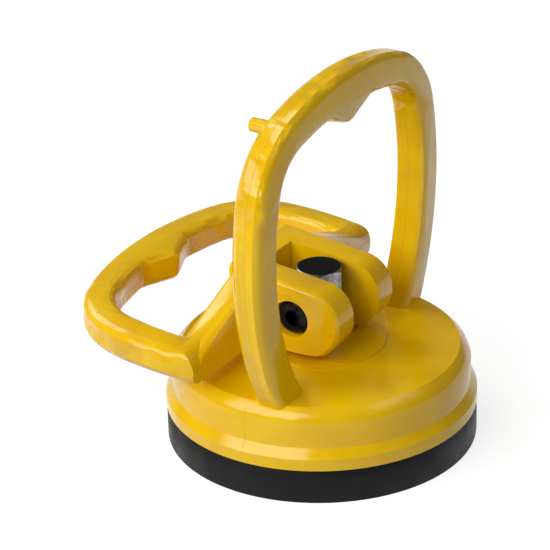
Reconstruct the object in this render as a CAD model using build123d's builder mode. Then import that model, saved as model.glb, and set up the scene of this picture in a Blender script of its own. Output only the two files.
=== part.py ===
from build123d import *
import os
from math import cos, radians, sin, sqrt, tan

# Single-cup glass suction lifter, in millimetres, +Z up.
# The origin is the centre of the pad's underside. The hinge screw lies along Y and the
# cam lever points to -X. It is modelled released, with the lever down.

# Rubber pad
pad_radius = 60.5
pad_taper = 0.9
pad_straight = 9.7
pad_height = 13.8
web_thickness = 4.6
spigot_width = 7.5
spigot_height = 5.5

# Steel insert in the pad
plate_radius = 38.0
plate_thickness = 2.0
stud_radius = 5.0
stud_reach = 18.0
stud_head_radius = 9.0
stud_head_thickness = 1.5

# Base housing
flange_radius = 60.6
flange_height = 4.6
wall_radius = 58.1
wall_foot = 22.1
wall_top = 31.3
deck_radius = 54.0
deck_edge = 37.1
deck_height = 38.1
bevel_bulge = 0.5
boss_radius = 25.5
boss_height = 1.2
shell_thickness = 3.0
hub_radius = 14.5
rib_count = 6
rib_thickness = 2.2
rib_depth = 12.0
rib_overlap = 0.5
shoulder_drop = 1.0

# The two grips: the fixed one on the housing and the loop of the lever
grip_thickness = 13.0
grip_round = 4.0
round_bevels = 3
grip_half_width = 67.7
grip_band = 14.2
crown_radius = 137.0
side_radius = 122.0
shoulder_radius = 36.0
opening_crown_flattening = 18.0
opening_side_tightening = 20.0
opening_shoulder_tightening = 17.0
ridge_depth = 6.8
ridge_half_width = 17.0
ridge_tip_round = 5.0
ridge_root_round = 12.0

# Fixed handle
handle_offset = 9.5
handle_crown = 151.2
handle_crown_rise = 59.2
handle_root = 33.0
peg_radius = 2.65
peg_across = 38.5
peg_inset = 5.3

# Pull rod and hinge
pivot_height = 55.8
pillar_across_flats = 17.0
pillar_above_pivot = 13.4
pillar_chamfer_angle = 25.0
pillar_face_inset = 0.3
screw_radius = 4.0
screw_length = 35.0
screw_head_radius = 6.5
screw_head_height = 8.0
socket_across_flats = 6.0
socket_depth = 4.0
screw_chamfer = 0.8
nut_across_flats = 13.0
nut_height = 6.4
nut_collar_radius = 6.0
nut_collar_height = 1.6
nut_ring_thickness = 1.1

# Cam lever
lever_tilt = 5.0
lever_length = 71.0
lever_crown_rise = 51.0
lever_swing = 82.5
cam_rate = 3.4
cam_points = 12
bar_front = 15.0
bar_depth = 12.0
bar_level = 5.8
bar_edge_round = 2.5
gusset_root = 13.3
gusset_toe = 10.4
heel_round = 8.0
ear_half_width = 21.5
ear_front = 20.5
ear_rear_top = 16.9
ear_front_top = 11.6
ear_front_bottom = 11.5
ear_belly = 13.9
ear_nose_radius = 12.0
ear_edge_bevel = 1.2
slot_width = 19.0
slot_end = 18.2
head_recess = 1.0
head_pocket_radius = 7.4

# Clearances
cam_gap = 0.25
stop_gap = 0.3
guide_gap = 0.3
insert_gap = 0.3
flex_gap = 1.2
pin_gap = 0.05
thread_gap = 0.05
pocket_gap = 0.2
seat_gap = 0.1

# Sizes and levels that follow from the ones above
opening_crown_radius = crown_radius + opening_crown_flattening
opening_side_radius = side_radius - opening_side_tightening
opening_shoulder_radius = shoulder_radius - opening_shoulder_tightening
gusset_reach = grip_half_width - grip_band / 2
handle_widest = handle_crown - handle_crown_rise
lever_widest = lever_length - lever_crown_rise
peg_height = handle_crown - crown_radius + sqrt(crown_radius**2 - peg_across**2) - peg_inset
plate_top = web_thickness + plate_thickness
boss_top = deck_height + boss_height
pillar_top = pivot_height + pillar_above_pivot
lift = cam_rate * radians(lever_swing)
hub_bottom = plate_top + lift + flex_gap
flange_top = pad_height + flange_height
shell_inner = wall_radius - shell_thickness
cam_reach = pivot_height - boss_top - cam_gap
head_seat = ear_half_width - head_recess - screw_head_height
bar_rear = bar_front + bar_depth
bar_bottom = pivot_height - bar_level - grip_thickness / 2
handle_face = handle_offset - grip_thickness / 2

# The raised lever leans short of upright, and its upper face stops just clear of the peg
raised_lean = radians(90 - lever_swing - lever_tilt)
loop_drop = bar_front * sin(radians(lever_tilt)) + bar_level * cos(radians(lever_tilt)) - grip_thickness / 2
peg_above_pivot = peg_height - peg_radius - pivot_height - lift
peg_length = handle_face + (loop_drop + peg_above_pivot * sin(raised_lean)) / cos(raised_lean) - stop_gap


# A round taken as bevels tangent to it: for each bevel its leg on the flat face, then its leg
# on the surface before it.
def bevel_legs(radius):
    step = 90 / (round_bevels + 1)
    reaches = [radius * tan(radians(45 - step * index / 2)) for index in range(round_bevels + 1)]
    tangent = radius * tan(radians(step / 2))
    return [(before - after, before - tangent) for before, after in zip(reaches, reaches[1:])]


# A grip's outline: two side arcs under a crown arc, with rounded shoulders.
def grip_outline(crown, widest, foot):
    with BuildSketch() as face:
        with Locations((grip_half_width - side_radius, widest)):
            Circle(side_radius)
        with Locations((side_radius - grip_half_width, widest)):
            Circle(side_radius, mode=Mode.INTERSECT)
        with Locations((0, crown - crown_radius)):
            Circle(crown_radius, mode=Mode.INTERSECT)
        fillet(face.vertices().group_by(Axis.Y)[-1], radius=shoulder_radius)
        with Locations((0, foot)):
            Rectangle(2 * side_radius, crown - foot, align=(Align.CENTER, Align.MIN), mode=Mode.INTERSECT)
    return face.sketch


# The hand opening, with the rounded ridge that parts the fingers under the crown.
def grip_opening(crown, widest, foot):
    opening_half = grip_half_width - grip_band
    opening_crown = crown - grip_band
    with BuildSketch() as face:
        with Locations((opening_half - opening_side_radius, widest)):
            Circle(opening_side_radius)
        with Locations((opening_side_radius - opening_half, widest)):
            Circle(opening_side_radius, mode=Mode.INTERSECT)
        with Locations((0, opening_crown - opening_crown_radius)):
            Circle(opening_crown_radius, mode=Mode.INTERSECT)
        fillet(face.vertices().group_by(Axis.Y)[-1], radius=opening_shoulder_radius)
        with Locations((0, foot)):
            Rectangle(2 * side_radius, crown - foot, align=(Align.CENTER, Align.MIN), mode=Mode.INTERSECT)
        ridge_slope = ridge_depth / ridge_half_width
        with BuildLine():
            Polyline(
                (-2 * ridge_half_width, opening_crown + ridge_half_width * ridge_slope),
                (0, opening_crown - ridge_depth),
                (2 * ridge_half_width, opening_crown + ridge_half_width * ridge_slope),
                close=True,
            )
        make_face(mode=Mode.SUBTRACT)
        ridge = face.vertices().filter_by(lambda v: abs(v.X) < opening_half / 2 and v.Y > widest)
        fillet(ridge.sort_by(Axis.Y)[0], radius=ridge_tip_round)
        roots = face.vertices().filter_by(lambda v: abs(v.X) < opening_half / 2 and v.Y > widest)
        fillet(roots.sort_by(Axis.Y)[-2:], radius=ridge_root_round)
    return face.sketch


grip_bevels = bevel_legs(grip_round)
bar_bevels = bevel_legs(bar_edge_round)

# Rubber pad: thick rim, thin flexing web and a spigot into the housing
with BuildPart() as rubber_pad:
    with BuildSketch(Plane.XZ):
        with BuildLine():
            Polyline(
                (0, 0),
                (pad_radius, 0),
                (pad_radius, pad_straight),
                (pad_radius - pad_taper, pad_height),
                (shell_inner - seat_gap, pad_height),
                (shell_inner - seat_gap, pad_height + spigot_height),
                (shell_inner - seat_gap - spigot_width, pad_height + spigot_height),
                (shell_inner - seat_gap - spigot_width, web_thickness),
                (stud_head_radius + insert_gap, web_thickness),
                (stud_head_radius + insert_gap, web_thickness - stud_head_thickness),
                (0, web_thickness - stud_head_thickness),
                close=True,
            )
        make_face()
    revolve(axis=Axis.Z)
rubber_pad.part.label = "rubber_pad"

# Steel disc that spreads the pull over the pad's web
with BuildPart() as insert_plate:
    with BuildSketch(Plane.XY.offset(web_thickness)):
        Circle(plate_radius)
        Circle(stud_radius + thread_gap, mode=Mode.SUBTRACT)
    extrude(amount=plate_thickness)
insert_plate.part.label = "insert_plate"

# Headed stud, up through the disc and into the pillar
with BuildPart() as insert_stud:
    with BuildSketch(Plane.XY.offset(web_thickness - stud_head_thickness)):
        Circle(stud_head_radius)
    extrude(amount=stud_head_thickness)
    with BuildSketch(Plane.XY.offset(web_thickness)):
        Circle(stud_radius)
    extrude(amount=plate_thickness + stud_reach)
insert_stud.part.label = "insert_stud"

# Hexagon pillar with its flats facing the lever's ears and its upper end turned to a chamfer
with BuildPart() as hex_pillar:
    with BuildSketch(Plane.XY.offset(plate_top)):
        RegularPolygon(pillar_across_flats / 2, 6, major_radius=False)
    extrude(amount=pillar_top - plate_top)
    pillar_corner = pillar_across_flats / 2 / cos(radians(30))
    turned_face = pillar_across_flats / 2 - pillar_face_inset
    turned_edge = pillar_corner + pillar_face_inset
    turned_drop = (turned_edge - turned_face) * tan(radians(pillar_chamfer_angle))
    with BuildSketch(Plane.XZ):
        with BuildLine():
            Polyline(
                (0, plate_top),
                (turned_edge, plate_top),
                (turned_edge, pillar_top - turned_drop),
                (turned_face, pillar_top),
                (0, pillar_top),
                close=True,
            )
        make_face()
    revolve(axis=Axis.Z, mode=Mode.INTERSECT)
    with BuildSketch(Plane.XY.offset(plate_top)):
        Circle(stud_radius + thread_gap)
    extrude(amount=stud_reach + stud_radius / 2, mode=Mode.SUBTRACT)
    with BuildSketch(Plane.XZ):
        with Locations((0, pivot_height)):
            Circle(screw_radius + pin_gap)
    extrude(amount=pillar_across_flats, both=True, mode=Mode.SUBTRACT)
hex_pillar.part.label = "hex_pillar"

# One stiffening rib of the housing, under the deck from the hub to the wall
with BuildPart() as rib:
    with BuildSketch(Plane.XZ):
        with BuildLine():
            Polyline(
                (hub_radius - rib_overlap, deck_edge - shell_thickness - rib_depth),
                (shell_inner + rib_overlap, deck_edge - shell_thickness - rib_depth),
                (shell_inner + rib_overlap, wall_top - shoulder_drop),
                (deck_radius - shell_thickness / 2 + rib_overlap, deck_edge - shell_thickness + rib_overlap),
                (hub_radius - rib_overlap, deck_edge - shell_thickness + rib_overlap),
                close=True,
            )
        make_face()
    extrude(amount=rib_thickness / 2, both=True)

handle_outline = grip_outline(handle_crown, handle_widest, handle_root)
handle_opening = grip_opening(handle_crown, handle_widest, handle_root)

# Housing, moulded in one with the fixed handle and the lever's stop peg
with BuildPart() as base_housing:
    with BuildSketch(Plane.YZ.offset(handle_offset - grip_thickness / 2)):
        add(handle_outline)
        add(handle_opening, mode=Mode.SUBTRACT)
    extrude(amount=grip_thickness)
    for flat_leg, side_leg in grip_bevels:
        for side in (0, -1):
            flat = base_housing.faces().filter_by(Axis.X).sort_by(Axis.X)[side]
            rim = flat.edges().filter_by(lambda e: e.center().Z > handle_root + grip_round / 2)
            chamfer(rim, length=flat_leg, length2=side_leg, reference=flat)
    with BuildSketch(Plane.XZ):
        with BuildLine():
            Polyline(
                (0, hub_bottom),
                (hub_radius, hub_bottom),
                (hub_radius, deck_edge - shell_thickness),
                (deck_radius - shell_thickness / 2, deck_edge - shell_thickness),
                (shell_inner, wall_top - shoulder_drop),
                (shell_inner, pad_height),
                (flange_radius, pad_height),
                (flange_radius, flange_top),
                (wall_radius, wall_foot),
                (wall_radius, wall_top),
                ((wall_radius + deck_radius) / 2 + bevel_bulge, (wall_top + deck_edge) / 2 + bevel_bulge),
                (deck_radius, deck_edge),
                (boss_radius, deck_height),
                (boss_radius, boss_top),
                (0, boss_top),
                (0, hub_bottom),
            )
        make_face()
    revolve(axis=Axis.Z)
    with PolarLocations(0, rib_count):
        add(rib.part)
    with BuildSketch(Plane.YZ.offset(handle_face)):
        with Locations((-peg_across, peg_height)):
            Circle(peg_radius)
    extrude(amount=-peg_length)
    with BuildSketch(Plane.XY.offset(hub_bottom)):
        RegularPolygon(pillar_across_flats / 2 + guide_gap, 6, major_radius=False)
    extrude(amount=boss_top - hub_bottom, mode=Mode.SUBTRACT)
base_housing.part.label = "base_housing"

# The lever's own plane: across the lever, along it, and up through the loop's thickness
loop_plane = Plane(
    origin=(-bar_front, 0, pivot_height - bar_level),
    x_dir=(0, 1, 0),
    z_dir=(sin(radians(lever_tilt)), 0, cos(radians(lever_tilt))),
)
lever_outline = grip_outline(lever_length, lever_widest, 0)
lever_opening = grip_opening(lever_length, lever_widest, bar_depth)

# Side view of the loop's heels, with the upper front corner as origin
heel_plane = Plane(
    origin=loop_plane.origin + loop_plane.z_dir * grip_thickness / 2,
    x_dir=-loop_plane.y_dir,
    z_dir=-loop_plane.x_dir,
)

# Bar across the loop, which rises as a gusset to the block
with BuildPart() as gusset:
    with BuildSketch(Plane.YZ.offset(-bar_front)):
        with BuildLine():
            Polyline(
                (-gusset_reach, bar_bottom),
                (gusset_reach, bar_bottom),
                (gusset_reach, bar_bottom + gusset_toe),
                (ear_half_width, pivot_height + gusset_root),
                (-ear_half_width, pivot_height + gusset_root),
                (-gusset_reach, bar_bottom + gusset_toe),
                close=True,
            )
        make_face()
    extrude(amount=-bar_depth)
    for flat_leg, side_leg in bar_bevels:
        for side in (0, -1):
            flat = gusset.faces().filter_by(Axis.X).sort_by(Axis.X)[side]
            rim = flat.edges().filter_by(lambda e: e.center().Z > bar_bottom + gusset_toe)
            chamfer(rim, length=flat_leg, length2=side_leg, reference=flat)


# Foot of the cam at one swing of the lever, seen from the hinge: the line of the boss as it
# sinks away from the hinge, by cam_rate for each radian, touches the ears along this curve.
def cam_point(swing):
    reach = cam_reach + cam_rate * radians(swing)
    across = reach * sin(radians(swing)) + cam_rate * cos(radians(swing))
    down = -reach * cos(radians(swing)) + cam_rate * sin(radians(swing))
    return (across, pivot_height + down)


# Cam lever: loop, gusset bar and forked block in one moulding
with BuildPart() as cam_lever:
    with BuildSketch(loop_plane.offset(-grip_thickness / 2)):
        add(lever_outline)
        add(lever_opening, mode=Mode.SUBTRACT)
    extrude(amount=grip_thickness)
    for flat_leg, side_leg in grip_bevels:
        for side in (0, -1):
            flats = cam_lever.faces().filter_by(GeomType.PLANE).sort_by(SortBy.AREA)[-2:]
            flat = flats.sort_by(Axis.Z)[side]
            rim = flat.edges().filter_by(lambda e: e.center().X < -bar_front - grip_round / 2)
            chamfer(rim, length=flat_leg, length2=side_leg, reference=flat)
    with BuildSketch(heel_plane):
        Rectangle(heel_round, heel_round, align=(Align.MAX, Align.MAX))
        with Locations((-heel_round, -heel_round)):
            Circle(heel_round, mode=Mode.SUBTRACT)
    extrude(amount=grip_half_width, both=True, mode=Mode.SUBTRACT)
    add(gusset.part)
    # Side view of the block and its ears, less what the cam law takes from the lower corner
    with BuildSketch(Plane.XZ.offset(-ear_half_width)) as ears:
        with BuildLine():
            Polyline(
                (-bar_rear, bar_bottom),
                (-bar_rear, pivot_height + ear_rear_top),
                (ear_front, pivot_height + ear_front_top),
                (ear_front, pivot_height - ear_front_bottom),
            )
            ThreePointArc(
                (ear_front, pivot_height - ear_front_bottom),
                (0, pivot_height - ear_belly),
                (-bar_front, bar_bottom),
            )
            Line((-bar_front, bar_bottom), (-bar_rear, bar_bottom))
        make_face()
        fillet(ears.vertices().sort_by(lambda v: v.X + v.Y)[-1], radius=ear_nose_radius)
        with BuildLine():
            cam = Spline(*[cam_point(lever_swing * (step + 1) / cam_points) for step in range(cam_points)])
            Polyline(
                cam @ 1,
                (2 * ear_front, (cam @ 1).Y),
                (2 * ear_front, 0),
                ((cam @ 0).X, 0),
                cam @ 0,
            )
        make_face(mode=Mode.SUBTRACT)
    extrude(amount=2 * ear_half_width)
    cheeks = cam_lever.faces().filter_by(Axis.Y)
    cheeks = cheeks.filter_by(lambda f: abs(abs(f.center().Y) - ear_half_width) < ear_edge_bevel)
    rim = cheeks.edges().filter_by(lambda e: e.center().X > slot_end / 2)
    chamfer(rim, length=ear_edge_bevel)
    with BuildSketch(Plane.XZ.offset(-slot_width / 2)):
        with Locations((-slot_end, 0)):
            Rectangle(3 * ear_front, 2 * pivot_height, align=(Align.MIN, Align.MIN))
    extrude(amount=slot_width, mode=Mode.SUBTRACT)
    # Hinge hole, pocket for the screw's head on one side and for the nut on the other
    with BuildSketch(Plane.XZ.offset(-ear_half_width)):
        with Locations((0, pivot_height)):
            Circle(screw_radius + pin_gap)
    extrude(amount=2 * ear_half_width, mode=Mode.SUBTRACT)
    with BuildSketch(Plane.XZ.offset(head_seat)):
        with Locations((0, pivot_height)):
            Circle(head_pocket_radius)
    extrude(amount=ear_half_width, mode=Mode.SUBTRACT)
    with BuildSketch(Plane.XZ.offset(-head_seat)):
        with Locations((0, pivot_height)):
            RegularPolygon(nut_across_flats / 2 + pocket_gap, 6, major_radius=False, rotation=30)
    extrude(amount=-ear_half_width, mode=Mode.SUBTRACT)
cam_lever.part.label = "cam_lever"

# Socket-head screw that pins the lever to the pillar
with BuildPart() as pivot_screw:
    with BuildSketch(Plane.XZ.offset(head_seat)):
        with Locations((0, pivot_height)):
            Circle(screw_head_radius)
    extrude(amount=screw_head_height)
    chamfer(pivot_screw.faces().sort_by(Axis.Y)[0].edges(), length=screw_chamfer)
    with BuildSketch(Plane.XZ.offset(head_seat)):
        with Locations((0, pivot_height)):
            Circle(screw_radius)
    extrude(amount=-screw_length)
    with BuildSketch(Plane.XZ.offset(head_seat + screw_head_height - socket_depth)):
        with Locations((0, pivot_height)):
            RegularPolygon(socket_across_flats / 2, 6, major_radius=False)
    extrude(amount=2 * socket_depth, mode=Mode.SUBTRACT)
pivot_screw.part.label = "pivot_screw"

# Lock nut in the far ear's pocket, its collar rolled over a nylon ring
with BuildPart() as lock_nut:
    with BuildSketch(Plane.XZ.offset(-head_seat)):
        with Locations((0, pivot_height)):
            RegularPolygon(nut_across_flats / 2, 6, major_radius=False, rotation=30)
    extrude(amount=-nut_height)
    with BuildSketch(Plane.XZ.offset(-head_seat - nut_height)):
        with Locations((0, pivot_height)):
            Circle(nut_collar_radius)
    extrude(amount=-nut_collar_height)
    with BuildSketch(Plane.XZ.offset(-head_seat)):
        with Locations((0, pivot_height)):
            Circle(screw_radius + thread_gap)
    extrude(amount=-nut_height - nut_collar_height, mode=Mode.SUBTRACT)
    with BuildSketch(Plane.XZ.offset(-head_seat - nut_height)):
        with Locations((0, pivot_height)):
            Circle(screw_radius + nut_ring_thickness)
    extrude(amount=-nut_collar_height, mode=Mode.SUBTRACT)
lock_nut.part.label = "lock_nut"

with BuildPart() as lock_nut_ring:
    with BuildSketch(Plane.XZ.offset(-head_seat - nut_height)):
        with Locations((0, pivot_height)):
            Circle(screw_radius + nut_ring_thickness)
            Circle(screw_radius + thread_gap, mode=Mode.SUBTRACT)
    extrude(amount=-nut_collar_height)
lock_nut_ring.part.label = "lock_nut_ring"

pieces = [
    base_housing,
    rubber_pad,
    insert_plate,
    insert_stud,
    hex_pillar,
    cam_lever,
    pivot_screw,
    lock_nut,
    lock_nut_ring,
]

os.makedirs("parts", exist_ok=True)
for piece in pieces:
    export_step(piece.part, f"parts/{piece.part.label}.step")
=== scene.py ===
import math

import bmesh
import bpy
from mathutils import Matrix, Vector


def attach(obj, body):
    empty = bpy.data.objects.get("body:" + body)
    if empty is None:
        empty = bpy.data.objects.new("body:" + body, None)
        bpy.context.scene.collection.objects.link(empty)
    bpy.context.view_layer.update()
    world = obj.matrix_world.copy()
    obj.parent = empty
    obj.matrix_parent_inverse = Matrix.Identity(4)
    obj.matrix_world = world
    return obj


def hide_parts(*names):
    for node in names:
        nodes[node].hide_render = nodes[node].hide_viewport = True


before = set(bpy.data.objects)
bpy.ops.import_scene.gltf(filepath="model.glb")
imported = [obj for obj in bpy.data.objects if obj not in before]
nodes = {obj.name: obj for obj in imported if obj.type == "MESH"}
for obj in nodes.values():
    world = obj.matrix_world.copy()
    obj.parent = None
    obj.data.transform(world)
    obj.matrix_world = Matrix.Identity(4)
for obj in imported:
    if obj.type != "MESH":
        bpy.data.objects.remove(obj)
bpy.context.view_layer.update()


# Camera: the photograph was taken from the screw's side, a little above, with a long lens.
# The angles, the distance and the focal length are the ones that bring the pad's circle,
# both handles and the hinge of the model onto the photograph's.
photo_size = 550
azimuth = math.radians(32.19)
elevation = math.radians(25.49)
roll = math.radians(-1.61)
distance = 0.98056
focal_pixels = 2492.5
pad_centre_pixel = (322.26, 424.57)
film_width = 36

level_right = Vector((math.cos(azimuth), math.sin(azimuth), 0))
forward = Vector((
    -math.sin(azimuth) * math.cos(elevation),
    math.cos(azimuth) * math.cos(elevation),
    -math.sin(elevation),
))
level_up = level_right.cross(forward)
right = math.cos(roll) * level_right + math.sin(roll) * level_up
up = math.cos(roll) * level_up - math.sin(roll) * level_right
across = (pad_centre_pixel[0] - photo_size / 2) / focal_pixels
down = (pad_centre_pixel[1] - photo_size / 2) / focal_pixels
eye = -distance * (forward + across * right - down * up)

bpy.ops.object.select_all(action="DESELECT")
bpy.ops.object.camera_add(location=eye)
camera = bpy.context.object
camera.matrix_world = Matrix.Translation(eye) @ Matrix((right, up, -forward)).transposed().to_4x4()
camera.data.sensor_width = film_width
camera.data.lens = film_width * focal_pixels / photo_size
bpy.context.scene.camera = camera
bpy.context.scene.view_settings.view_transform = "Standard"


# Rubber pad: one compression moulding of black natural rubber. Its thick rim is pressed up under
# the housing's flange, a spigot holds it inside, and a lip groove runs round the underside.
# It is turned from a disc here: the edges get the mould's small rounds.
def colour(hex_value):
    channels = [int(hex_value[i:i + 2], 16) / 255 for i in (1, 3, 5)]
    return [c / 12.92 if c <= 0.04045 else ((c + 0.055) / 1.055) ** 2.4 for c in channels] + [1]


def add_node(tree, kind, links=None, **settings):
    new = tree.nodes.new(kind)
    for name, value in settings.items():
        if name.startswith("in_"):
            key = name[3:]
            key = int(key) if key.isdigit() else key.replace("_", " ")
            new.inputs[key].default_value = value
        else:
            setattr(new, name, value)
    for name, source in (links or {}).items():
        tree.links.new(source, new.inputs[name])
    return new


def new_material(name):
    material = bpy.data.materials.new(name)
    material.use_nodes = True
    tree = material.node_tree
    shader = tree.nodes["Principled BSDF"]
    place = add_node(tree, "ShaderNodeTexCoord").outputs["Object"]
    return material, tree, shader, place


def coat(node_names, material):
    for name in node_names:
        nodes[name].data.materials.clear()
        nodes[name].data.materials.append(material)


def pick_faces(test):
    bpy.ops.mesh.select_all(action="DESELECT")
    bpy.ops.mesh.select_mode(type="FACE")
    mesh = bmesh.from_edit_mesh(bpy.context.object.data)
    for face in mesh.faces:
        face.select = test(face.calc_center_median(), face.normal)
    mesh.select_flush_mode()
    bmesh.update_edit_mesh(bpy.context.object.data)


def settle(piece):
    bpy.ops.object.select_all(action="DESELECT")
    piece.select_set(True)
    bpy.context.view_layer.objects.active = piece
    bpy.ops.object.transform_apply(location=True, rotation=True, scale=True)


pad_radius = 0.0605
pad_straight = 0.0097
pad_height = 0.0138
pad_taper = 0.0009
spigot_radius = 0.055
spigot_top = 0.0193
rim_inner = 0.0475
web_top = 0.0046
stud_recess = 0.0093
stud_recess_floor = 0.0031
groove_inner = 0.0535
groove_outer = 0.0565
groove_depth = 0.0008
bloom_blend = 0.0003

bpy.ops.object.select_all(action="DESELECT")
bpy.ops.mesh.primitive_cylinder_add(
    vertices=160, radius=pad_radius, depth=pad_straight, location=(0, 0, pad_straight / 2),
)
pad = bpy.context.object
pad.name = "pad_rubber"
settle(pad)
bpy.ops.object.mode_set(mode="EDIT")
pick_faces(lambda c, n: n.z > 0.9)
bpy.ops.mesh.extrude_region_move(
    TRANSFORM_OT_translate={"value": (0, 0, pad_height - pad_straight)},
)
scale = (pad_radius - pad_taper) / pad_radius
bpy.ops.transform.resize(value=(scale, scale, 1), center_override=(0, 0, pad_height))
bpy.ops.mesh.inset(thickness=pad_radius - pad_taper - spigot_radius)
bpy.ops.mesh.extrude_region_move(TRANSFORM_OT_translate={"value": (0, 0, spigot_top - pad_height)})
bpy.ops.mesh.inset(thickness=spigot_radius - rim_inner)
bpy.ops.mesh.extrude_region_move(TRANSFORM_OT_translate={"value": (0, 0, web_top - spigot_top)})
bpy.ops.mesh.inset(thickness=rim_inner - stud_recess)
bpy.ops.mesh.extrude_region_move(
    TRANSFORM_OT_translate={"value": (0, 0, stud_recess_floor - web_top)},
)
pick_faces(lambda c, n: n.z < -0.9)
bpy.ops.mesh.inset(thickness=pad_radius - groove_outer)
bpy.ops.mesh.inset(thickness=groove_outer - groove_inner)
pick_faces(lambda c, n: n.z < -0.9 and groove_inner < c.xy.length < groove_outer)
bpy.ops.mesh.extrude_region_move(TRANSFORM_OT_translate={"value": (0, 0, groove_depth)})
bpy.ops.mesh.select_all(action="SELECT")
bpy.ops.mesh.normals_make_consistent(inside=False)
bpy.ops.object.mode_set(mode="OBJECT")
rounding = pad.modifiers.new("mould rounds", "BEVEL")
rounding.width = 0.0005
rounding.segments = 3
rounding.limit_method = "ANGLE"
rounding.angle_limit = math.radians(35)
bpy.ops.object.modifier_apply(modifier="mould rounds")
bpy.ops.object.shade_smooth_by_angle(angle=math.radians(30))

# Natural rubber loaded with carbon black: nearly black, matt, with a fine grain from the blasted
# mould (drawn at 0.5 mm, coarser than the real 0.1 mm, so that it shows), faint rings from the
# turned mould, a paler bloom on the straight band and specks of dust.
black_rubber, tree, shader, place = new_material("black natural rubber, matt moulded")
split = add_node(tree, "ShaderNodeSeparateXYZ", {"Vector": place})
bloom_noise = add_node(
    tree, "ShaderNodeTexNoise", {"Vector": place}, in_Scale=38.0, in_Detail=5.0, in_Roughness=0.6,
)
band = add_node(
    tree, "ShaderNodeMapRange", {"Value": split.outputs["Z"]},
    in_1=pad_straight - bloom_blend, in_2=pad_straight + bloom_blend, in_3=1.0, in_4=0.25,
)
bloom = add_node(
    tree, "ShaderNodeMath", {0: bloom_noise.outputs["Fac"], 1: band.outputs["Result"]},
    operation="MULTIPLY",
)
rubber_tone = add_node(tree, "ShaderNodeValToRGB", {"Fac": bloom.outputs["Value"]})
rubber_tone.color_ramp.elements[0].position = 0.1
rubber_tone.color_ramp.elements[0].color = colour("#040405")
rubber_tone.color_ramp.elements[1].position = 0.75
rubber_tone.color_ramp.elements[1].color = colour("#101011")
dust_cells = add_node(
    tree, "ShaderNodeTexVoronoi", {"Vector": place}, in_Scale=260.0, in_Randomness=1.0,
)
dust_spots = add_node(
    tree, "ShaderNodeMapRange", {"Value": dust_cells.outputs["Distance"]},
    in_1=0.02, in_2=0.06, in_3=0.35, in_4=0.0,
)
dust_where = add_node(tree, "ShaderNodeTexNoise", {"Vector": place}, in_Scale=55.0, in_Detail=2.0)
dust_mask = add_node(
    tree, "ShaderNodeMapRange", {"Value": dust_where.outputs["Fac"]}, in_1=0.5, in_2=0.62,
)
dust = add_node(
    tree, "ShaderNodeMath", {0: dust_spots.outputs["Result"], 1: dust_mask.outputs["Result"]},
    operation="MULTIPLY",
)
dusty = add_node(
    tree, "ShaderNodeMix", {"Factor": dust.outputs["Value"], "A": rubber_tone.outputs["Color"]},
    data_type="RGBA",
)
dusty.inputs["B"].default_value = colour("#8C8B88")
tree.links.new(dusty.outputs["Result"], shader.inputs["Base Color"])
gloss_noise = add_node(tree, "ShaderNodeTexNoise", {"Vector": place}, in_Scale=90.0, in_Detail=3.0)
gloss = add_node(
    tree, "ShaderNodeMapRange", {"Value": gloss_noise.outputs["Fac"]},
    in_1=0.3, in_2=0.7, in_3=0.42, in_4=0.6,
)
tree.links.new(gloss.outputs["Result"], shader.inputs["Roughness"])
grain = add_node(tree, "ShaderNodeTexNoise", {"Vector": place}, in_Scale=2000.0, in_Detail=2.0)
rings = add_node(
    tree, "ShaderNodeTexWave", {"Vector": place},
    bands_direction="Z", in_Scale=330.0, in_Distortion=0.6,
)
relief = add_node(
    tree, "ShaderNodeMath", {0: rings.outputs["Fac"], 2: grain.outputs["Fac"]},
    operation="MULTIPLY_ADD", in_1=0.35,
)
bump = add_node(
    tree, "ShaderNodeBump", {"Height": relief.outputs["Value"]},
    in_Strength=0.35, in_Distance=0.00006,
)
tree.links.new(bump.outputs["Normal"], shader.inputs["Normal"])
shader.inputs["IOR"].default_value = 1.52
shader.inputs["Specular IOR Level"].default_value = 0.2
pad.data.materials.append(black_rubber)
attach(pad, "base")
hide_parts("rubber_pad")


# Housing, fixed handle and stop peg: one injection moulding of glossy yellow ABS, from a polished
# steel mould that parts along the handle's middle. Its sharp edges get the mould's small rounds,
# which catch the light as thin lines.
grip_foot = 0.0415
sharp_edge = math.radians(30)
smooth_below = math.radians(23.8)


# A copy of the solid, its loose triangles merged into faces. The grips' bevels meet at 22.5
# degrees, less than smooth_below, so that they are shaded round.
def moulding_of(node_name, name, edge_round):
    piece = nodes[node_name].copy()
    piece.data = nodes[node_name].data.copy()
    piece.name = name
    bpy.context.scene.collection.objects.link(piece)
    bpy.ops.object.select_all(action="DESELECT")
    piece.select_set(True)
    bpy.context.view_layer.objects.active = piece
    bpy.ops.object.mode_set(mode="EDIT")
    bpy.ops.mesh.select_all(action="SELECT")
    bpy.ops.mesh.remove_doubles(threshold=0.000005)
    bpy.ops.mesh.dissolve_limited(angle_limit=math.radians(0.5))
    bpy.ops.object.mode_set(mode="OBJECT")
    rounding = piece.modifiers.new("mould rounds", "BEVEL")
    rounding.width = edge_round
    rounding.segments = 2
    rounding.limit_method = "ANGLE"
    rounding.angle_limit = sharp_edge
    rounding.use_clamp_overlap = True
    bpy.ops.object.modifier_apply(modifier="mould rounds")
    bpy.ops.object.shade_smooth_by_angle(angle=smooth_below)
    piece.data.materials.clear()
    return piece


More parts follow.
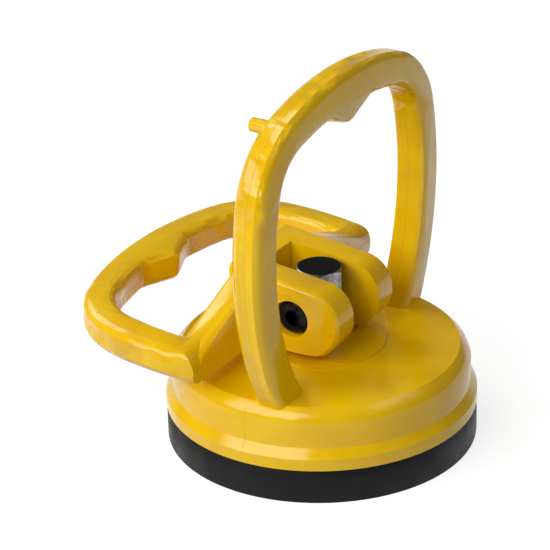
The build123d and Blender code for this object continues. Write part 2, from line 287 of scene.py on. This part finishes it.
# ABS with a yellow pigment: IOR 1.53, a high gloss with a slow ripple of some 6 mm where the
# melt shrank, deeper yellow where it flowed slowly, and hair scratches and dull handling marks.
def yellow_abs(name):
    material, tree, shader, place = new_material(name)
    shader.inputs["IOR"].default_value = 1.53
    shader.inputs["Specular IOR Level"].default_value = 0.36
    flow = add_node(
        tree, "ShaderNodeTexNoise", {"Vector": place},
        in_Scale=40.0, in_Detail=4.0, in_Distortion=0.8,
    )
    tone = add_node(tree, "ShaderNodeValToRGB", {"Fac": flow.outputs["Fac"]})
    tone.color_ramp.elements[0].position = 0.3
    tone.color_ramp.elements[0].color = colour("#EAB600")
    tone.color_ramp.elements[1].position = 0.7
    tone.color_ramp.elements[1].color = colour("#F5C800")
    scratch_place = add_node(
        tree, "ShaderNodeMapping", {"Vector": place},
        in_Scale=(2600, 160, 160), in_Rotation=(0.4, 0.7, 0.3),
    )
    scratches = add_node(
        tree, "ShaderNodeTexNoise", {"Vector": scratch_place.outputs["Vector"]},
        in_Scale=1.0, in_Detail=1.0,
    )
    scratch_lines = add_node(
        tree, "ShaderNodeMapRange", {"Value": scratches.outputs["Fac"]}, in_1=0.68, in_2=0.76,
    )
    handling = add_node(
        tree, "ShaderNodeTexNoise", {"Vector": place},
        in_Scale=65.0, in_Detail=6.0, in_Roughness=0.6,
    )
    dullness = add_node(
        tree, "ShaderNodeMapRange", {"Value": handling.outputs["Fac"]},
        in_1=0.35, in_2=0.7, in_3=0.14, in_4=0.24,
    )
    scuffed = add_node(
        tree, "ShaderNodeMath", {0: scratch_lines.outputs["Result"], 2: dullness.outputs["Result"]},
        operation="MULTIPLY_ADD", in_1=0.12,
    )
    tree.links.new(scuffed.outputs["Value"], shader.inputs["Roughness"])
    ripple = add_node(tree, "ShaderNodeTexNoise", {"Vector": place}, in_Scale=160.0, in_Detail=1.0)
    peel = add_node(tree, "ShaderNodeTexNoise", {"Vector": place}, in_Scale=900.0, in_Detail=1.0)
    skin = add_node(
        tree, "ShaderNodeMath", {0: peel.outputs["Fac"], 2: ripple.outputs["Fac"]},
        operation="MULTIPLY_ADD", in_1=0.08,
    )
    bump = add_node(
        tree, "ShaderNodeBump", {"Height": skin.outputs["Value"]},
        in_Strength=0.5, in_Distance=0.00012,
    )
    return material, tree, shader, place, tone.outputs["Color"], bump.outputs["Normal"]


# The mould's parting line lies where a coordinate has the seam's value. It stands proud by a few
# hundredths of a millimetre and is drawn some 0.3 mm wide, wider than the real one, to show.
def parting_line(tree, coordinate, seam):
    off_seam = add_node(tree, "ShaderNodeMath", {0: coordinate, 1: seam}, operation="SUBTRACT")
    distance = add_node(
        tree, "ShaderNodeMath", {0: off_seam.outputs["Value"]}, operation="ABSOLUTE",
    )
    line = add_node(
        tree, "ShaderNodeMapRange", {"Value": distance.outputs["Value"]},
        in_1=0.00008, in_2=0.0002, in_3=1.0, in_4=0.0,
    )
    return line.outputs["Result"]


housing = moulding_of("base_housing", "housing_moulding", 0.0004)

# Below the grip each edge round is shaded to run into the larger face beside it, which keeps
# the turned faces even
turned = housing.vertex_groups.new(name="turned faces")
turned.add([v.index for v in housing.data.vertices if v.co.z < grip_foot], 1.0, "REPLACE")
weighting = housing.modifiers.new("even shading", "WEIGHTED_NORMAL")
weighting.keep_sharp = True
weighting.vertex_group = turned.name
bpy.ops.object.modifier_apply(modifier="even shading")

# The housing's parting line runs up the wall just beside the middle, round on the bevel to the
# leg, and then round the handle along its own middle. The deck itself has none.
housing_yellow, tree, shader, place, tone, skin = yellow_abs("glossy yellow ABS, moulded housing")
wall_seam = 0.0012
handle_middle = 0.0095
seam_turns = (0.0345, 0.0372)
deck_side = 0.044
deck_top = 0.0396
split = add_node(tree, "ShaderNodeSeparateXYZ", {"Vector": place})
seam_x = add_node(
    tree, "ShaderNodeMapRange", {"Value": split.outputs["Z"]}, interpolation_type="SMOOTHSTEP",
    in_1=seam_turns[0], in_2=seam_turns[1], in_3=wall_seam, in_4=handle_middle,
)
seam_line = parting_line(tree, split.outputs["X"], seam_x.outputs["Result"])
side = add_node(tree, "ShaderNodeMath", {0: split.outputs["Y"]}, operation="ABSOLUTE")
outer = add_node(
    tree, "ShaderNodeMath", {0: side.outputs["Value"]}, operation="GREATER_THAN", in_1=deck_side,
)
above_deck = add_node(
    tree, "ShaderNodeMath", {0: split.outputs["Z"]}, operation="GREATER_THAN", in_1=deck_top,
)
seam_where = add_node(
    tree, "ShaderNodeMath", {0: outer.outputs["Value"], 1: above_deck.outputs["Value"]},
    operation="MAXIMUM",
)
seam = add_node(
    tree, "ShaderNodeMath", {0: seam_line, 1: seam_where.outputs["Value"]}, operation="MULTIPLY",
)
seam_bump = add_node(
    tree, "ShaderNodeBump", {"Height": seam.outputs["Value"], "Normal": skin},
    in_Strength=0.8, in_Distance=0.00006,
)
tree.links.new(seam_bump.outputs["Normal"], shader.inputs["Normal"])
# Along the parting line the yellow is darkened to its deep shaded tone: painted shade beside the
# seam's real raised bump.
seam_painted_shade = add_node(
    tree, "ShaderNodeMath", {0: seam.outputs["Value"]}, operation="MULTIPLY", in_1=0.35,
)
seam_shaded_tone = add_node(
    tree, "ShaderNodeMix", {"Factor": seam_painted_shade.outputs["Value"], "A": tone}, data_type="RGBA",
)
seam_shaded_tone.inputs["B"].default_value = colour("#C98A00")
tree.links.new(seam_shaded_tone.outputs["Result"], shader.inputs["Base Color"])
housing.data.materials.append(housing_yellow)
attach(housing, "base")
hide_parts("base_housing")


# Cam lever: loop, gusset bar and forked block in one moulding of the same yellow ABS. Its mould
# parts along the loop's middle and, on the ears, along the loop's upper face. Ejector pins have
# left round marks on top, and one dark speck is burnt into the near corner.
lever = moulding_of("cam_lever", "lever_moulding", 0.00045)
lever_yellow, tree, shader, place, tone, skin = yellow_abs("glossy yellow ABS, moulded lever")
lever_tilt = math.radians(5)
loop_origin = Vector((-0.015, 0, 0.05))
ears_start = 0.006
ears_seam = 0.0067
upper_half = 0.004
loop_place = add_node(
    tree, "ShaderNodeMapping", {"Vector": place}, vector_type="TEXTURE",
    in_Location=loop_origin, in_Rotation=(0, lever_tilt, 0),
)
split = add_node(tree, "ShaderNodeSeparateXYZ", {"Vector": loop_place.outputs["Vector"]})
ear_part = add_node(
    tree, "ShaderNodeMath", {0: split.outputs["X"]}, operation="GREATER_THAN", in_1=ears_start,
)
seam_level = add_node(
    tree, "ShaderNodeMath", {0: ear_part.outputs["Value"]},
    operation="MULTIPLY", in_1=ears_seam,
)
seam_line = parting_line(tree, split.outputs["Z"], seam_level.outputs["Value"])

pin_radius = 0.0041
pin_edge = 0.0001
pin_marks = ((-0.058, 0.0435), (-0.058, -0.0435), (0.0025, 0.0175), (0.0025, -0.0175))
flat_place = add_node(
    tree, "ShaderNodeCombineXYZ", {"X": split.outputs["X"], "Y": split.outputs["Y"]},
)
pin_relief = None
for x, y in pin_marks:
    to_pin = add_node(
        tree, "ShaderNodeVectorMath", {0: flat_place.outputs["Vector"]},
        operation="DISTANCE", in_1=(x, y, 0),
    )
    inside = add_node(
        tree, "ShaderNodeMapRange", {"Value": to_pin.outputs["Value"]},
        in_1=pin_radius - pin_edge, in_2=pin_radius + pin_edge, in_3=1.0, in_4=0.0,
    )
    if pin_relief is None:
        pin_relief = inside.outputs["Result"]
    else:
        pin_relief = add_node(
            tree, "ShaderNodeMath", {0: pin_relief, 1: inside.outputs["Result"]},
            operation="MAXIMUM",
        ).outputs["Value"]
top_side = add_node(
    tree, "ShaderNodeMath", {0: split.outputs["Z"]}, operation="GREATER_THAN", in_1=upper_half,
)
pin_sink = add_node(
    tree, "ShaderNodeMath", {0: pin_relief, 1: top_side.outputs["Value"]}, operation="MULTIPLY",
)
marks = add_node(
    tree, "ShaderNodeMath", {0: seam_line, 1: pin_sink.outputs["Value"]}, operation="SUBTRACT",
)
mark_bump = add_node(
    tree, "ShaderNodeBump", {"Height": marks.outputs["Value"], "Normal": skin},
    in_Strength=0.8, in_Distance=0.00007,
)
tree.links.new(mark_bump.outputs["Normal"], shader.inputs["Normal"])
speck_place = (-0.0478, -0.0595, 0)
to_speck = add_node(
    tree, "ShaderNodeVectorMath", {0: flat_place.outputs["Vector"]},
    operation="DISTANCE", in_1=speck_place,
)
speck = add_node(
    tree, "ShaderNodeMapRange", {"Value": to_speck.outputs["Value"]},
    in_1=0.0002, in_2=0.00055, in_3=0.85, in_4=0.0,
)
specked = add_node(
    tree, "ShaderNodeMix", {"Factor": speck.outputs["Result"], "A": tone}, data_type="RGBA",
)
specked.inputs["B"].default_value = colour("#5A3000")
tree.links.new(specked.outputs["Result"], shader.inputs["Base Color"])
lever.data.materials.append(lever_yellow)
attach(lever, "lever")
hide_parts("cam_lever")


# Hexagon pillar: cold-drawn 17 mm steel bar, turned to a chamfer at its upper end and plated
# with zinc. The upper end face is coloured near black and made rougher, and the flats keep the fine
# lengthwise lines of the die.
pillar_top = 0.0692
end_blend = (0.00012, 0.00004)
zinc_pillar, tree, shader, place = new_material("zinc-plated drawn steel bar")
shader.inputs["Metallic"].default_value = 1.0
split = add_node(tree, "ShaderNodeSeparateXYZ", {"Vector": place})
end_face = add_node(
    tree, "ShaderNodeMapRange", {"Value": split.outputs["Z"]},
    in_1=pillar_top - end_blend[0], in_2=pillar_top - end_blend[1],
)
cloud = add_node(
    tree, "ShaderNodeTexNoise", {"Vector": place}, in_Scale=260.0, in_Detail=6.0, in_Roughness=0.65,
)
plating = add_node(tree, "ShaderNodeValToRGB", {"Fac": cloud.outputs["Fac"]})
plating.color_ramp.elements[0].position = 0.32
plating.color_ramp.elements[0].color = colour("#4E4F51")
plating.color_ramp.elements[1].position = 0.66
plating.color_ramp.elements[1].color = colour("#A9AAAC")
# The upper end face is coloured near black.
dark_end_face_tone = add_node(
    tree, "ShaderNodeMix", {"Factor": end_face.outputs["Result"], "A": plating.outputs["Color"]},
    data_type="RGBA",
)
dark_end_face_tone.inputs["B"].default_value = colour("#1B1C20")
tree.links.new(dark_end_face_tone.outputs["Result"], shader.inputs["Base Color"])
line_place = add_node(tree, "ShaderNodeMapping", {"Vector": place}, in_Scale=(3200, 3200, 90))
die_lines = add_node(
    tree, "ShaderNodeTexNoise", {"Vector": line_place.outputs["Vector"]},
    in_Scale=1.0, in_Detail=3.0,
)
plate_gloss = add_node(
    tree, "ShaderNodeMapRange", {"Value": die_lines.outputs["Fac"]},
    in_1=0.3, in_2=0.7, in_3=0.2, in_4=0.42,
)
end_gloss = add_node(
    tree, "ShaderNodeMath", {0: end_face.outputs["Result"], 2: plate_gloss.outputs["Result"]},
    operation="MULTIPLY_ADD", in_1=0.25,
)
tree.links.new(end_gloss.outputs["Value"], shader.inputs["Roughness"])
bar_skin = add_node(
    tree, "ShaderNodeMath", {0: die_lines.outputs["Fac"], 1: cloud.outputs["Fac"]}, operation="ADD",
)
bump = add_node(
    tree, "ShaderNodeBump", {"Height": bar_skin.outputs["Value"]},
    in_Strength=0.5, in_Distance=0.00005,
)
tree.links.new(bump.outputs["Normal"], shader.inputs["Normal"])
coat(["hex_pillar"], zinc_pillar)


# Insert plate, stud and lock nut: pressed and turned steel with a bright zinc plating, which
# clouds a little and takes small knocks from the tumbling drum.
zinc_parts, tree, shader, place = new_material("zinc-plated steel, barrel plated")
shader.inputs["Metallic"].default_value = 1.0
cloud = add_node(tree, "ShaderNodeTexNoise", {"Vector": place}, in_Scale=320.0, in_Detail=5.0)
plating = add_node(tree, "ShaderNodeValToRGB", {"Fac": cloud.outputs["Fac"]})
plating.color_ramp.elements[0].position = 0.3
plating.color_ramp.elements[0].color = colour("#8E9092")
plating.color_ramp.elements[1].position = 0.7
plating.color_ramp.elements[1].color = colour("#CFD1D2")
tree.links.new(plating.outputs["Color"], shader.inputs["Base Color"])
gloss = add_node(
    tree, "ShaderNodeMapRange", {"Value": cloud.outputs["Fac"]},
    in_1=0.3, in_2=0.7, in_3=0.22, in_4=0.38,
)
tree.links.new(gloss.outputs["Result"], shader.inputs["Roughness"])
knocks = add_node(tree, "ShaderNodeTexVoronoi", {"Vector": place}, in_Scale=700.0)
bump = add_node(
    tree, "ShaderNodeBump", {"Height": knocks.outputs["Distance"]},
    in_Strength=0.3, in_Distance=0.00004,
)
tree.links.new(bump.outputs["Normal"], shader.inputs["Normal"])
coat(["insert_plate", "insert_stud", "lock_nut"], zinc_parts)


# Pivot screw: an M8 socket-head screw of blacked alloy steel, cold-headed, with the oxide's oily,
# slightly uneven half-gloss.
black_oxide, tree, shader, place = new_material("black-oxide alloy steel")
shader.inputs["Metallic"].default_value = 1.0
cloud = add_node(tree, "ShaderNodeTexNoise", {"Vector": place}, in_Scale=420.0, in_Detail=5.0)
oxide = add_node(tree, "ShaderNodeValToRGB", {"Fac": cloud.outputs["Fac"]})
oxide.color_ramp.elements[0].position = 0.35
oxide.color_ramp.elements[0].color = colour("#17171A")
oxide.color_ramp.elements[1].position = 0.75
oxide.color_ramp.elements[1].color = colour("#3A3A3F")
tree.links.new(oxide.outputs["Color"], shader.inputs["Base Color"])
gloss = add_node(
    tree, "ShaderNodeMapRange", {"Value": cloud.outputs["Fac"]},
    in_1=0.3, in_2=0.7, in_3=0.24, in_4=0.42,
)
tree.links.new(gloss.outputs["Result"], shader.inputs["Roughness"])
bump = add_node(
    tree, "ShaderNodeBump", {"Height": cloud.outputs["Fac"]}, in_Strength=0.3, in_Distance=0.00005,
)
tree.links.new(bump.outputs["Normal"], shader.inputs["Normal"])
coat(["pivot_screw"], black_oxide)


# Nylon ring of the lock nut: turned from natural white polyamide and pressed into the nut's
# collar, where it grips the thread. It is milky and a little waxy.
nylon, tree, shader, place = new_material("natural nylon, machined")
shader.inputs["IOR"].default_value = 1.53
milk = add_node(tree, "ShaderNodeTexNoise", {"Vector": place}, in_Scale=500.0, in_Detail=3.0)
milk_tone = add_node(tree, "ShaderNodeValToRGB", {"Fac": milk.outputs["Fac"]})
milk_tone.color_ramp.elements[0].color = colour("#DAD7CB")
milk_tone.color_ramp.elements[1].color = colour("#EFEDE4")
tree.links.new(milk_tone.outputs["Color"], shader.inputs["Base Color"])
shader.inputs["Roughness"].default_value = 0.42
bump = add_node(
    tree, "ShaderNodeBump", {"Height": milk.outputs["Fac"]}, in_Strength=0.3, in_Distance=0.00004,
)
tree.links.new(bump.outputs["Normal"], shader.inputs["Normal"])
coat(["lock_nut_ring"], nylon)


# Studio: a pale table in a dim room, under a wide softbox from the left front, which the gloss
# mirrors as bands on the housing, a weak one from the right and one from behind on the left. The
# table shows nearly white to the camera and in reflections, and keeps the object's shadow.
bpy.ops.object.select_all(action="DESELECT")
bpy.ops.mesh.primitive_plane_add(size=8, location=(0, 0, 0))
floor = bpy.context.object
floor.name = "floor"
table_glow = 0.78
room_light = 0.17
white_floor, tree, shader, _ = new_material("pale laminate table")
shader.inputs["Base Color"].default_value = colour("#A6A6A6")
shader.inputs["Roughness"].default_value = 0.8
rays = add_node(tree, "ShaderNodeLightPath")
seen = add_node(
    tree, "ShaderNodeMath", {0: rays.outputs["Is Camera Ray"], 1: rays.outputs["Is Glossy Ray"]},
    operation="MAXIMUM",
)
seen = add_node(
    tree, "ShaderNodeMath", {0: seen.outputs["Value"], 1: rays.outputs["Is Transmission Ray"]},
    operation="MAXIMUM",
)
glow = add_node(
    tree, "ShaderNodeMath", {0: seen.outputs["Value"]}, operation="MULTIPLY", in_1=table_glow,
)
tree.links.new(glow.outputs["Value"], shader.inputs["Emission Strength"])
shader.inputs["Emission Color"].default_value = (1, 1, 1, 1)
floor.data.materials.append(white_floor)

world = bpy.data.worlds.new("studio")
bpy.context.scene.world = world
world.use_nodes = True
tree = world.node_tree
background = tree.nodes["Background"]
background.inputs["Color"].default_value = (1, 1, 1, 1)
background.inputs["Strength"].default_value = room_light


def softbox(name, azimuth, elevation, distance, size, power):
    azimuth = math.radians(azimuth)
    elevation = math.radians(elevation)
    direction = Vector((
        math.cos(azimuth) * math.cos(elevation),
        math.sin(azimuth) * math.cos(elevation),
        math.sin(elevation),
    ))
    centre = Vector((0, 0, 0.06))
    bpy.ops.object.light_add(type="AREA", location=centre + distance * direction)
    light = bpy.context.object
    light.name = name
    light.data.shape = "RECTANGLE"
    light.data.size, light.data.size_y = size
    light.data.energy = power
    light.rotation_euler = (-direction).to_track_quat("-Z", "Y").to_euler()


softbox("left front softbox", -105, 32, 1.5, (1.5, 0.9), 21)
softbox("right softbox", 8, 44, 1.5, (0.9, 0.5), 2.6)
softbox("left rear softbox", 165, 42, 1.4, (0.7, 0.7), 6)
